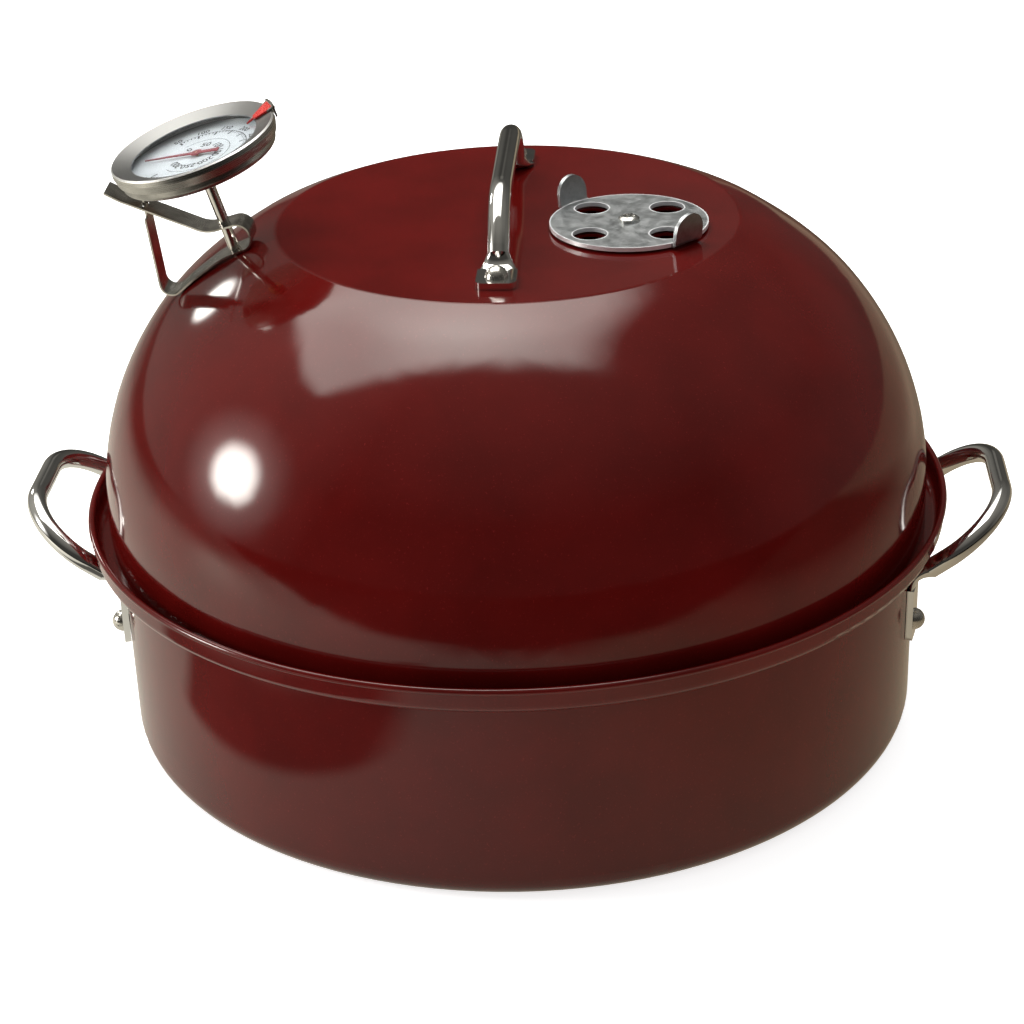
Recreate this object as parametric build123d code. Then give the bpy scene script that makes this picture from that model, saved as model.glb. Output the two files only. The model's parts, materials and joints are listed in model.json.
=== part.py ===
from build123d import *
import os
from math import asin, atan2, cos, degrees, floor, radians, sin, sqrt

# Stovetop smoker: an enamelled pan and domed lid with a turning vent and a riveted handle,
# a drip tray, a wire food rack, and a dial thermometer held in the lid by a spring clip.
# Millimetres, +Z up, origin at the centre of the pan's underside, pan handles on the X axis.

# Clearances
seat_gap = 0.2  # under a part that rests on another and lifts off
fixed_gap = 0.05  # between parts that are fixed together
run_gap = 0.08  # round a shaft that turns or slides in its hole

# Pan
rim_radius = 197.0
rim_height = 110.2
rim_depth = 12.2  # from the rim's edge down to the ledge's underside
rim_flare = 1.0
rim_bend = 5.0
ledge_width = 11.9  # from the wall's outside to the rim's bend
ledge_bend = 2.5
pan_wall_lean = 1.2
pan_floor_bend = 11.0
pan_sheet = 1.5
edge_round = 0.45  # rounding of the rim's edge, as a share of the sheet
pan_base_radius = rim_radius - rim_flare - ledge_width - pan_wall_lean

# Lid
lid_gap = 9.0  # between the lid's wall and the rim's outside
lid_radius = rim_radius - lid_gap
lid_height = 138.6  # from its lower edge to the flat top
lid_skirt = 17.0  # straight wall above the lower edge
lid_shoulder = 85.0  # how far the dome draws in, from the wall to the flat top
lid_flat_radius = lid_radius - lid_shoulder
lid_crease_bend = 5.0
dome_steps = 6
lid_sheet = 1.2

# Pan handles, of round bar flattened at both ends
pan_bar = 9.0
pan_grip_gap = 20.0  # room for fingers between the rim and the grip
pan_grip_reach = rim_radius + pan_grip_gap + pan_bar / 2
pan_grip_height = 111.2
pan_grip_half_width = 48.0
pan_grip_corner = 31.0
pan_foot_half_spread = 42.0
pan_foot_bottom = 50.5
pan_foot_top = 76.5  # where the flat foot ends and the bar leans out
pan_foot_width = 14.0
pan_bend_up = 6.5  # from the foot's top to the bend, along the wall
pan_bend_out = 5.6  # from the wall to the bar's centre at the bend
foot_thickness = 3.0
foot_corner = 0.2  # rounding of a foot's free corners, as a share of its width
bend_run = 0.45  # from the bend to where the bar is round, in bar diameters
knee_place = 0.6  # of the way from the foot's end to the bend
knee_width = 0.86  # of the foot's width
knee_fullness = 0.72  # half thickness at the knee, in foot thicknesses
rivet_below_top = 17.0

# Lid handle
lid_bar = 9.5
lid_grip_rise = 26.0  # bar's centre above the flat top
lid_grip_half_width = 52.0
lid_grip_corner = 34.0
lid_leg_half_spread = 66.0
lid_rivet_half_spread = 80.0
lid_foot_width = 17.0
lid_foot_start = 71.5
lid_foot_end = 88.5
lid_bend_up = 3.4

# Rivets
rivet_shank_radius = 2.6
rivet_head_radius = 5.0
rivet_head_height = 4.6
rivet_tail_radius = 4.4
rivet_tail_height = 1.4

# Drip tray
tray_gap = 33.0  # between the tray's wall and the pan's
tray_radius = pan_base_radius - tray_gap
tray_depth = 22.0
tray_flange = 6.0
tray_bend = 4.0
tray_sheet = 1.0
tray_foot_height = 18.0
tray_foot_inset = 50.0
tray_foot_circle = tray_radius - tray_foot_inset
tray_foot_count = 4
tray_foot_top_radius = 17.0
tray_foot_tip_radius = 9.0

# Food rack
rack_side_gap = 0.55
rack_ring_wire = 4.5
rack_bar_wire = 3.0
rack_bar_pitch = 14.0
rack_rod_wire = 4.0
rack_rod_spacing = 110.0

# Vent
vent_x = 54.0
vent_y = -13.0
vent_radius = 34.8
vent_sheet = 1.8
vent_lift = 1.0  # thickness of the spacer under the disc
vent_hole_radius = 7.5
vent_hole_circle = 23.5
vent_hole_count = 4
vent_tab_width = 16.0
vent_tab_height = 14.0
vent_tab_lean = 1.6  # outwards over the tab's height
vent_tab_bend = 2.4
vent_tab_azimuth = 135.0
screw_shank_radius = 2.5
screw_head_radius = 4.6
screw_head_height = 2.3
screw_head_round = 0.55  # of the head's height
screw_length = 11.0
nut_across_flats = 8.0
nut_height = 4.0
spacer_radius = 7.0
washer_radius = 5.0
washer_thickness = 1.2

# Thermometer, placed along its own stem axis from where that axis meets the lid
probe_outset = 17.5  # of the hole, from the flat top's edge
probe_radius = lid_flat_radius + probe_outset
probe_azimuth = 188.6
stem_lean = 16.2
stem_lean_azimuth = 198.4
stem_radius = 2.5
stem_wall = 0.4
stem_length = 150.0
stem_hole_radius = 3.5
case_height = 44.0  # of the case's back above the lid, along the stem
case_radius = 35.2
case_wall = 0.6
case_depth = 5.55
case_bend = 2.4
bezel_radius = 37.2
bezel_edge_height = 6.4
bezel_window_radius = 28.7
bezel_slope = 2.6  # from its outer edge down to the window
bezel_lip = 0.6
bezel_swell = 0.25  # of its side, which bulges a little
bezel_swell_place = 0.45  # of the way down the side
lens_thickness = 1.8
gasket_thickness = 0.6
gasket_width = 5.0
bezel_play = 0.3  # between the case and the bezel round it
dial_play = 0.2  # round the dial plate
dial_bore_play = 0.4  # round the shaft, in the dial plate
dial_thickness = 0.5
bushing_radius = 5.5
bushing_neck_radius = 3.85
bushing_length = 3.6
bushing_flange_radius = 6.2
bushing_flange_height = 1.6
shaft_radius = 0.6
coil_play = 0.24  # between the shaft and the coil
coil_radius = 1.7
coil_length = 42.0
shaft_overlap = 0.8  # of the coil's length
pointer_reach = 26.0
pointer_tail = 11.0
pointer_hub_radius = 2.6
pointer_root = 0.94  # half width where it meets the hub
pointer_end = 0.24  # half width at the tip
pointer_tail_end = 1.4  # half width at the end of the tail
pointer_thickness = 0.5
pointer_gap = 1.0  # above the dial plate
pointer_azimuth = 348.0
marker_azimuth = 206.0
marker_sheet = 0.8
marker_gap = 0.3  # over the bezel
marker_tip_overhang = 4.1  # of the arrow's tip, past the window's edge
marker_outline = [(4.0, 0.6), (4.2, 2.0), (8.0, 3.2), (12.0, 5.6)]  # distance from the tip, half width
marker_half_width = 6.5
marker_tab_height = 5.0

# Spring clip, one strip bent round the stem
clip_azimuth = 177.0
clip_width = 12.0
clip_sheet = 0.8
clip_tongue_width = 5.6
clip_slot_gap = 0.6

ledge_top = rim_height - rim_depth + pan_sheet
lid_bottom = ledge_top + seat_gap
lid_top = lid_bottom + lid_height
lid_inside_radius = lid_radius - lid_sheet
wall_height = rim_height - rim_depth

# The dome is one arc, tangent to the straight wall and ending at the flat top's edge.
arc_width = lid_radius - lid_flat_radius
arc_rise = lid_height - lid_skirt
dome_arc_radius = (arc_width**2 + arc_rise**2) / (2 * arc_width)
dome_arc_centre = lid_radius - dome_arc_radius


def dome_height(radius):
    """Height of the dome's outside at a distance from its axis."""
    return lid_bottom + lid_skirt + sqrt(dome_arc_radius**2 - (radius - dome_arc_centre) ** 2)


def pan_outside(height):
    """Outer radius of the pan's leaning wall at a height."""
    return pan_base_radius + pan_wall_lean * height / wall_height


def revolved(outline):
    """Solid of revolution about Z of a closed outline drawn in radius and height."""
    return revolve(Plane.XZ * make_face(outline), Axis.Z)


def washer(outer, inner, bottom, height):
    """Flat ring round Z."""
    ring = Circle(outer) - Circle(inner)
    return Pos(0, 0, bottom) * extrude(ring, height)


def polar(radius, azimuth):
    """Plan position at a radius and an angle in degrees."""
    return radius * cos(radians(azimuth)), radius * sin(radians(azimuth))


# Stem axis and the clip's plane
stem_direction = Vector(
    sin(radians(stem_lean)) * cos(radians(stem_lean_azimuth)),
    sin(radians(stem_lean)) * sin(radians(stem_lean_azimuth)),
    cos(radians(stem_lean)),
)
clip_heading = Vector(cos(radians(clip_azimuth)), sin(radians(clip_azimuth)), 0)
probe_seat = Vector(*polar(probe_radius, probe_azimuth), dome_height(probe_radius))
probe_x = clip_heading - stem_direction * clip_heading.dot(stem_direction)
probe_plane = Plane(origin=probe_seat, x_dir=probe_x, z_dir=stem_direction)


def wall_plane(height, standoff):
    """Plane on the pan's wall at azimuth 0, with X along the wall's round, Y up the wall and Z outwards."""
    normal = Vector(wall_height, 0, -pan_wall_lean).normalized()
    origin = Vector(pan_outside(height), 0, height) + normal * standoff
    return Plane(origin=origin, x_dir=(0, 1, 0), z_dir=normal)


# The foot of a pan handle lies flat on the wall.
rivet_height = pan_foot_top - rivet_below_top
foot_azimuth = degrees(asin(pan_foot_half_spread / pan_outside(rivet_height)))
rivet_turns = [side + azimuth for side in (0, 180) for azimuth in (-foot_azimuth, foot_azimuth)]


def make_pan_body():
    """Pressed pan: flat floor, slightly leaning wall, a ledge for the lid and an upstanding rim."""
    corners = [
        (0, 0),
        (pan_base_radius, 0),
        (pan_outside(wall_height), wall_height),
        (rim_radius - rim_flare, wall_height),
        (rim_radius, rim_height),
    ]
    outside = FilletPolyline(*corners, radius=[pan_floor_bend, ledge_bend, rim_bend])
    section = make_face(offset(outside, pan_sheet, side=Side.LEFT))
    edge = section.vertices().sort_by(Axis.Y)[-2:]
    pan = revolve(Plane.XZ * fillet(edge, pan_sheet * edge_round), Axis.Z)
    for turn in rivet_turns:
        hole = Cylinder(rivet_shank_radius + fixed_gap, 4 * pan_sheet)
        pan -= Rot(0, 0, turn) * wall_plane(rivet_height, 0).location * hole
    return pan


def bar_section(origin, across, heading, half_width, half_thickness):
    """Ellipse across a bar that is being hammered from round to flat."""
    return Plane(origin, x_dir=across, z_dir=heading) * Ellipse(half_width, half_thickness)


def riveted_end(foot, bar, width, below, above, bend, leg):
    """End of a bar, hammered flat through a bend into a foot with a rivet hole.

    The foot's plane has the rivet at its origin and Y towards the leg. The foot reaches below the
    rivet and above it. The bend is where the bar's centre line turns into the leg's direction.
    """
    start = bend + leg * bar * bend_run
    rise = foot.to_local_coords(bend).Y - above
    flat_end = foot.from_local_coords((0, above, foot_thickness / 2))
    knee = foot.from_local_coords((0, above + rise * knee_place, foot_thickness * knee_fullness))
    across = foot.x_dir
    neck = loft(
        [
            bar_section(flat_end, across, foot.y_dir, width / 2, foot_thickness / 2),
            bar_section(knee, across, foot.y_dir + leg, width * knee_width / 2, foot_thickness * knee_fullness),
            bar_section(start, across, leg, bar / 2, bar / 2),
        ]
    )
    plate = Pos(0, (above - below) / 2) * Rectangle(width, above + below)
    plate = fillet(plate.vertices().group_by(Axis.Y)[0], width * foot_corner)
    plate -= Circle(rivet_shank_radius + fixed_gap)
    end = split(neck, bisect_by=foot, keep=Keep.TOP) + foot * extrude(plate, foot_thickness)
    return start, end


def make_pan_handle():
    """Carrying loop at +X: round bar, both ends flattened, bent down and riveted to the wall."""
    corners = [Vector(pan_grip_reach, side * pan_grip_half_width, pan_grip_height) for side in (-1, 1)]
    starts = []
    ends = []
    above = pan_foot_top - rivet_height
    for side, corner in zip((-1, 1), corners):
        foot = Plane(Rot(0, 0, side * foot_azimuth) * wall_plane(rivet_height, fixed_gap).location)
        bend = foot.from_local_coords((0, above + pan_bend_up, pan_bend_out))
        leg = (corner - bend).normalized()
        below = rivet_height - pan_foot_bottom
        start, end = riveted_end(foot, pan_bar, pan_foot_width, below, above, bend, leg)
        starts.append(start)
        ends.append(end)
    path = FilletPolyline(starts[0], *corners, starts[1], radius=pan_grip_corner)
    bar = sweep(Plane(origin=starts[0], z_dir=corners[0] - starts[0]) * Circle(pan_bar / 2), path=path)
    return bar + ends[0] + ends[1]


def rivet(grip):
    """Domed rivet on Z: its head from the outer face up, its shank and tail below by the grip's thickness."""
    cap_radius = (rivet_head_radius**2 + rivet_head_height**2) / (2 * rivet_head_height)
    foot_angle = degrees(asin((rivet_head_height - cap_radius) / cap_radius))
    cap_centre = rivet_head_height - cap_radius
    arc = CenterArc((0, cap_centre), cap_radius, -foot_angle, 90 + foot_angle)
    head = revolved(arc + Polyline((0, rivet_head_height), (0, 0), (rivet_head_radius, 0)))
    shank = Pos(0, 0, -grip / 2) * Cylinder(rivet_shank_radius, grip)
    tail = Pos(0, 0, -grip - rivet_tail_height / 2) * Cylinder(rivet_tail_radius, rivet_tail_height)
    return head + shank + tail


def make_pan_handle_rivets():
    """Four rivets, through the handles' feet and the pan's wall."""
    hollow = rivet_tail_radius**2 / pan_base_radius  # how far the wall's inside curves in under a tail
    grip = foot_thickness + pan_sheet + 3 * fixed_gap + hollow
    place = wall_plane(rivet_height, foot_thickness + 2 * fixed_gap).location
    return [Rot(0, 0, turn) * place * rivet(grip) for turn in rivet_turns]


def make_drip_tray():
    """Shallow pressed tray with a turned-out rim, standing on hollow pressed feet."""
    floor = pan_sheet + seat_gap + tray_foot_height
    line = FilletPolyline(
        (0, floor),
        (tray_radius - tray_bend, floor),
        (tray_radius, floor + tray_depth),
        (tray_radius + tray_flange, floor + tray_depth),
        radius=[tray_bend, tray_bend / 2],
    )
    tray = revolved(offset(line, tray_sheet, side=Side.LEFT))
    outer = Pos(0, 0, floor - tray_foot_height / 2) * Cone(
        tray_foot_tip_radius, tray_foot_top_radius, tray_foot_height
    )
    outer = fillet(outer.edges().sort_by(Axis.Z)[0], tray_bend)
    inner = Pos(0, 0, floor + tray_sheet - tray_foot_height / 2) * Cone(
        tray_foot_tip_radius - tray_sheet, tray_foot_top_radius - tray_sheet, tray_foot_height
    )
    inner = fillet(inner.edges().sort_by(Axis.Z)[0], tray_bend - tray_sheet)
    spots = PolarLocations(tray_foot_circle, tray_foot_count, start_angle=45)
    for spot in spots:
        tray += spot * outer
    for spot in spots:
        tray -= spot * inner
    return tray


rack_ring_radius = lid_inside_radius - rack_side_gap - rack_ring_wire / 2
# The ring sits in the pan's mouth, on the bend between its wall and its ledge.
mouth_bend = ledge_bend + pan_sheet
mouth_bend_inset = max(0, pan_outside(wall_height) + ledge_bend - rack_ring_radius)
ring_stand_off = mouth_bend + rack_ring_wire / 2 + seat_gap
rack_ring_height = ledge_top - mouth_bend + sqrt(ring_stand_off**2 - mouth_bend_inset**2)
rack_bar_height = rack_ring_height + rack_ring_wire / 2 + fixed_gap + rack_bar_wire / 2
rack_rod_height = rack_bar_height - rack_bar_wire / 2 - fixed_gap - rack_rod_wire / 2


def make_rack_ring():
    """Outer wire of the food rack, resting on the pan's ledge inside the lid."""
    return Pos(0, 0, rack_ring_height) * Torus(rack_ring_radius, rack_ring_wire / 2)


def wire_along_y(x, height, wire, reach):
    """Straight wire parallel to Y that ends on a circle of the given reach."""
    half = sqrt(reach**2 - x**2)
    return Pos(x, 0, height) * Rot(90, 0, 0) * Cylinder(wire / 2, 2 * half)


def make_rack_bars():
    """Parallel wires that carry the food, welded on top of the ring."""
    count = floor((rack_ring_radius - rack_bar_pitch / 2) / rack_bar_pitch)
    return [
        wire_along_y(index * rack_bar_pitch, rack_bar_height, rack_bar_wire, rack_ring_radius)
        for index in range(-count, count + 1)
    ]


def make_rack_rods():
    """Cross rods under the bars, inside the ring."""
    inside = rack_ring_radius - rack_ring_wire / 2 - fixed_gap
    rods = []
    for offset_y in (-rack_rod_spacing / 2, rack_rod_spacing / 2):
        reach = sqrt(inside**2 - rack_rod_wire**2 / 4) - rack_rod_wire * abs(offset_y) / inside
        rods.append(Rot(0, 0, 90) * wire_along_y(offset_y, rack_rod_height, rack_rod_wire, reach))
    return rods


def dome_section(inset):
    """Half section of all that lies inside the lid's skin, drawn in from its outside by the inset."""
    arc = dome_arc_radius - inset
    bend = lid_crease_bend - inset
    rise = arc_rise - inset - bend
    reach = sqrt((arc - bend) ** 2 - rise**2)
    angle = atan2(rise, reach)
    skirt_top = lid_bottom + lid_skirt
    steps = [angle * step / dome_steps for step in range(dome_steps + 1)]
    points = [(dome_arc_centre + arc * cos(turn), skirt_top + arc * sin(turn)) for turn in steps]
    dome = Spline(*points, tangents=[(0, 1), (-sin(angle), cos(angle))])
    bend_centre = dome_arc_centre + reach
    crease = CenterArc((bend_centre, skirt_top + rise), bend, degrees(angle), 90 - degrees(angle))
    corners = [
        (bend_centre, lid_top - inset),
        (0, lid_top - inset),
        (0, lid_bottom),
        (lid_radius - inset, lid_bottom),
        (lid_radius - inset, skirt_top),
    ]
    return make_face(dome + crease + Polyline(*corners))


def make_lid_shell():
    """Pressed lid: straight skirt, a dome of one arc, a flat top, and the holes for what it carries."""
    shell = revolve(Plane.XZ * (dome_section(0) - dome_section(lid_sheet)), Axis.Z)
    for spot in vent_spots():
        shell -= spot * Pos(0, 0, lid_top) * Cylinder(vent_hole_radius, 4 * lid_sheet)
    shell -= Pos(vent_x, vent_y, lid_top) * Cylinder(screw_shank_radius + fixed_gap, 4 * lid_sheet)
    for side in (-1, 1):
        place = Pos(0, side * lid_rivet_half_spread, lid_top)
        shell -= place * Cylinder(rivet_shank_radius + fixed_gap, 4 * lid_sheet)
    shell -= probe_plane.location * Cylinder(stem_hole_radius, 8 * lid_sheet)
    return shell


def make_lid_handle():
    """Lifting bar over the flat top, both ends flattened and riveted down."""
    height = lid_top + lid_grip_rise
    corners = [Vector(0, side * lid_grip_half_width, height) for side in (-1, 1)]
    starts = []
    ends = []
    for side, corner in zip((-1, 1), corners):
        rivet_at = (0, side * lid_rivet_half_spread, lid_top + fixed_gap)
        foot = Plane(origin=rivet_at, x_dir=(-side, 0, 0), z_dir=(0, 0, 1))
        bend = Vector(0, side * lid_leg_half_spread, lid_top + lid_bend_up)
        below = lid_foot_end - lid_rivet_half_spread
        above = lid_rivet_half_spread - lid_foot_start
        leg = (corner - bend).normalized()
        start, end = riveted_end(foot, lid_bar, lid_foot_width, below, above, bend, leg)
        starts.append(start)
        ends.append(end)
    path = FilletPolyline(starts[0], *corners, starts[1], radius=lid_grip_corner)
    bar = sweep(Plane(origin=starts[0], z_dir=corners[0] - starts[0]) * Circle(lid_bar / 2), path=path)
    return bar + ends[0] + ends[1]


def make_lid_handle_rivets():
    """Two rivets, through the handle's feet and the lid's flat top."""
    grip = foot_thickness + 3 * fixed_gap + lid_sheet
    height = lid_top + foot_thickness + 2 * fixed_gap
    return [Pos(0, side * lid_rivet_half_spread, height) * rivet(grip) for side in (-1, 1)]


disc_bottom = lid_top + vent_lift + 2 * fixed_gap


def vent_spots():
    """Places of the ports, evenly round the vent's screw."""
    spots = PolarLocations(vent_hole_circle, vent_hole_count, start_angle=45)
    return [Pos(vent_x, vent_y, 0) * spot for spot in spots]


def make_vent_disc():
    """Turning damper: a disc with four ports and two tabs bent up from its edge."""
    disc = Circle(vent_radius) - Circle(screw_shank_radius + run_gap)
    disc = extrude(disc, vent_sheet)
    for spot in PolarLocations(vent_hole_circle, vent_hole_count, start_angle=45):
        disc -= spot * Cylinder(vent_hole_radius, 4 * vent_sheet)
    root = sqrt(vent_radius**2 - vent_tab_width**2 / 4) - vent_sheet
    face = vent_radius + vent_sheet
    line = FilletPolyline((root, 0), (face, 0), (face + vent_tab_lean, vent_tab_height), radius=vent_tab_bend)
    strip = Plane.XZ * make_face(offset(line, vent_sheet, side=Side.LEFT))
    strip = extrude(strip, vent_tab_width / 2, both=True)
    crown = vent_tab_height - vent_tab_width / 2
    outline = Pos(0, crown) * Circle(vent_tab_width / 2)
    outline += Pos(0, crown / 2) * Rectangle(vent_tab_width, crown)
    outline = extrude(Plane.YZ.offset(root) * outline, face)
    tab = strip & outline
    for azimuth in (vent_tab_azimuth, vent_tab_azimuth - 180):
        disc += Rot(0, 0, azimuth) * tab
    return Pos(vent_x, vent_y, disc_bottom) * disc


def make_vent_screw():
    """Pan-head screw that the disc turns on."""
    bottom = disc_bottom + vent_sheet + fixed_gap
    head = Pos(0, 0, bottom + screw_head_height / 2) * Cylinder(screw_head_radius, screw_head_height)
    head = fillet(head.edges().group_by(Axis.Z)[-1], screw_head_height * screw_head_round)
    shank = Pos(0, 0, bottom - screw_length / 2) * Cylinder(screw_shank_radius, screw_length)
    return Pos(vent_x, vent_y, 0) * (head + shank)


def make_vent_spacer():
    """Washer that holds the disc just clear of the lid."""
    ring = washer(spacer_radius, screw_shank_radius + fixed_gap, lid_top + fixed_gap, vent_lift)
    return Pos(vent_x, vent_y, 0) * ring


def make_vent_lock_washer():
    """Split lock washer under the lid."""
    top = lid_top - lid_sheet - fixed_gap
    ring = washer(washer_radius, screw_shank_radius + fixed_gap, top - washer_thickness, washer_thickness)
    split = Box(washer_radius * 2, washer_thickness, washer_thickness * 4)
    ring -= Pos(washer_radius * 1.2, 0, top) * split
    return Pos(vent_x, vent_y, 0) * ring


def make_vent_nut():
    """Hexagon nut under the lid."""
    top = lid_top - lid_sheet - 2 * fixed_gap - washer_thickness
    nut = RegularPolygon(nut_across_flats / 2, 6, major_radius=False) - Circle(screw_shank_radius + fixed_gap)
    return Pos(vent_x, vent_y, top - nut_height) * extrude(nut, nut_height)


# Heights along the stem axis, from the lid up
case_floor = case_height + case_wall
case_rim = case_height + case_depth
lens_bottom = case_rim + fixed_gap
gasket_bottom = lens_bottom + lens_thickness + fixed_gap
bezel_seat = gasket_bottom + gasket_thickness + fixed_gap
bezel_top = bezel_seat + bezel_lip + bezel_slope
flange_bottom = case_floor + fixed_gap
dial_bottom = flange_bottom + bushing_flange_height + fixed_gap
pointer_bottom = dial_bottom + dial_thickness + pointer_gap
stem_top = case_height - fixed_gap
stem_bottom = stem_top - stem_length


def make_thermometer_case():
    """Spun cup behind the dial."""
    line = FilletPolyline(
        (bushing_neck_radius, case_height),
        (case_radius, case_height),
        (case_radius, case_rim),
        radius=case_bend,
    )
    return probe_plane * revolved(offset(line, case_wall, side=Side.LEFT))


def make_thermometer_bezel():
    """Broad ring that slopes down to the window and grips the case's edge."""
    inner_skirt = case_radius + bezel_play
    shoulder = bezel_radius - bezel_lip
    bottom = bezel_top - bezel_edge_height
    outline = Polyline(
        (bezel_window_radius, bezel_seat),
        (bezel_window_radius, bezel_seat + bezel_lip),
        (shoulder, bezel_top),
        (bezel_radius, bezel_top - bezel_lip),
        (bezel_radius + bezel_swell, bezel_top - bezel_edge_height * bezel_swell_place),
        (bezel_radius - bezel_lip, bottom),
        (inner_skirt, bottom),
        (inner_skirt, bezel_seat),
        close=True,
    )
    return probe_plane * revolved(outline)


def make_thermometer_lens():
    """Flat glass window."""
    return probe_plane * Pos(0, 0, lens_bottom + lens_thickness / 2) * Cylinder(case_radius, lens_thickness)


def make_lens_gasket():
    """Soft ring between the glass and the bezel."""
    inner = case_radius - gasket_width
    return probe_plane * washer(case_radius - fixed_gap, inner, gasket_bottom, gasket_thickness)


def make_dial_plate():
    """Printed plate behind the pointer."""
    plate = washer(case_radius - case_wall - dial_play, shaft_radius + dial_bore_play, dial_bottom, dial_thickness)
    return probe_plane * plate


def make_stem_bushing():
    """Turned bushing that joins the stem to the case: collar below, flange inside."""
    collar = Pos(0, 0, case_height - fixed_gap - bushing_length / 2) * Cylinder(bushing_radius, bushing_length)
    neck_length = case_wall + 2 * fixed_gap
    neck_radius = bushing_neck_radius - fixed_gap
    neck = Pos(0, 0, case_height + neck_length / 2 - fixed_gap) * Cylinder(neck_radius, neck_length)
    flange = Pos(0, 0, flange_bottom + bushing_flange_height / 2) * Cylinder(
        bushing_flange_radius, bushing_flange_height
    )
    bushing = collar + neck + flange
    bore_length = bushing_length + fixed_gap
    bushing -= Pos(0, 0, stem_top + fixed_gap - bore_length / 2) * Cylinder(stem_radius + fixed_gap, bore_length)
    bushing -= Pos(0, 0, case_height) * Cylinder(shaft_radius + run_gap, 8 * bushing_flange_height)
    return probe_plane * bushing


def make_stem_tube():
    """Hollow stem, open into the bushing and closed by a round tip."""
    bore = stem_radius - stem_wall
    tube = Pos(0, 0, (stem_top + stem_bottom) / 2) * Cylinder(stem_radius, stem_length)
    tube = fillet(tube.edges().sort_by(Axis.Z)[0], stem_radius * 0.8)
    tube -= Pos(0, 0, stem_top + stem_wall * 3 - stem_length / 2) * Cylinder(bore, stem_length)
    return probe_plane * tube


coil_bottom = stem_bottom + 3 * stem_wall + fixed_gap
coil_top = coil_bottom + coil_length


def make_bimetal_coil():
    """Envelope of the temperature coil inside the stem's tip, round the pointer's shaft."""
    return probe_plane * washer(coil_radius, shaft_radius + coil_play, coil_bottom, coil_length)


def make_pointer_shaft():
    """Thin shaft from the coil up to the pointer."""
    bottom = coil_top - coil_length * shaft_overlap
    top = pointer_bottom + pointer_thickness
    return probe_plane * Pos(0, 0, (top + bottom) / 2) * Cylinder(shaft_radius, top - bottom)


def make_dial_pointer():
    """Flat pointer with a long thin tip, a broad tail and a round hub."""
    tip = Polygon(
        (0, -pointer_root),
        (pointer_reach, -pointer_end),
        (pointer_reach, pointer_end),
        (0, pointer_root),
        align=None,
    )
    tail = Polygon(
        (0, pointer_root),
        (-pointer_tail, pointer_tail_end),
        (-pointer_tail, -pointer_tail_end),
        (0, -pointer_root),
        align=None,
    )
    shape = Circle(pointer_hub_radius) + tip + tail - Circle(shaft_radius + fixed_gap)
    return probe_plane * Pos(0, 0, pointer_bottom) * Rot(0, 0, pointer_azimuth) * extrude(shape, pointer_thickness)


def make_set_marker():
    """Arrow that clips over the bezel's edge and slides round it, to mark a wanted temperature."""
    outer = bezel_radius + bezel_swell + marker_gap
    tip = bezel_window_radius - marker_tip_overhang
    edge = outer + marker_sheet
    shoulder = bezel_radius - bezel_lip
    fall = bezel_slope / (shoulder - bezel_window_radius)
    side = [(tip + distance, half_width) for distance, half_width in marker_outline]
    side.append((edge, marker_half_width))
    other_side = [(x, -y) for x, y in reversed(side)]
    arrow = make_face(Polyline((tip, 0), *side, *other_side, close=True))
    # The arrow lies along the bezel's slope, and its tab hangs over the bezel's side.
    under = bezel_top + marker_gap
    tilt = Pos(shoulder, 0, under) * Rot(0, -degrees(atan2(fall, 1)), 0) * Pos(-shoulder, 0, 0)
    arrow = tilt * extrude(arrow, marker_sheet)
    tab_top = under + (edge - shoulder) * fall + marker_sheet
    tab = Pos(edge - marker_sheet, 0, tab_top - marker_tab_height / 2)
    tab *= Box(3 * marker_sheet, 2 * marker_half_width, marker_tab_height)
    tab &= washer(edge, outer, tab_top - marker_tab_height, marker_tab_height)
    return probe_plane * Rot(0, 0, marker_azimuth) * (arrow + tab)


# The clip's middle line in its own plane: outwards from the stem, and up along the stem.
clip_line = [
    (44.6, 43.6),  # end of the thumb tab
    (39.5, 38.6),  # where the tab curls up
    (7.6, 14.3),  # foot of the sloping upper arm
    (-10.9, 14.9),  # back of the loop, upper
    (-10.3, 2.8),  # back of the loop, lower
    (6.0, 0.9),  # lower arm, following the dome
    (23.0, -6.4),
    (38.8, -14.5),  # bend at the lower arm's end
    (31.6, 27.0),  # shoulder of the leg, where it narrows to the tongue
]
clip_bends = [8.0, 12.0, 5.4, 5.4, 40.0, 40.0, 5.0]
clip_tongue_length = 11.6


def strip_along(start, heading, length, width, thickness):
    """Flat piece of strip from a point of the clip's plane, along a heading in that plane."""
    plane = Plane(origin=start + heading * (length / 2), x_dir=(0, 1, 0), z_dir=heading)
    return plane * Box(width, thickness, length)


def make_thermometer_clip():
    """Spring strip: upper arm, round loop, lower arm along the lid, and a leg back up through the upper arm."""
    line = FilletPolyline(*clip_line, radius=clip_bends)
    band = offset(line, clip_sheet / 2, side=Side.BOTH)
    strip = extrude(Plane.XZ * make_face(band), clip_width / 2, both=True)
    bend, shoulder = [Vector(u, 0, w) for u, w in clip_line[-2:]]
    heading = (shoulder - bend).normalized()
    slot_width = clip_tongue_width + 2 * clip_slot_gap
    slot_thickness = clip_sheet + 2 * clip_slot_gap
    strip -= strip_along(shoulder, heading, clip_tongue_length, slot_width, slot_thickness)
    strip += strip_along(shoulder, heading, clip_tongue_length, clip_tongue_width, clip_sheet)
    arms_height = clip_line[2][1]
    strip -= Pos(0, 0, arms_height / 2) * Cylinder(stem_radius + run_gap, 2 * arms_height)
    return probe_plane * strip


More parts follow.
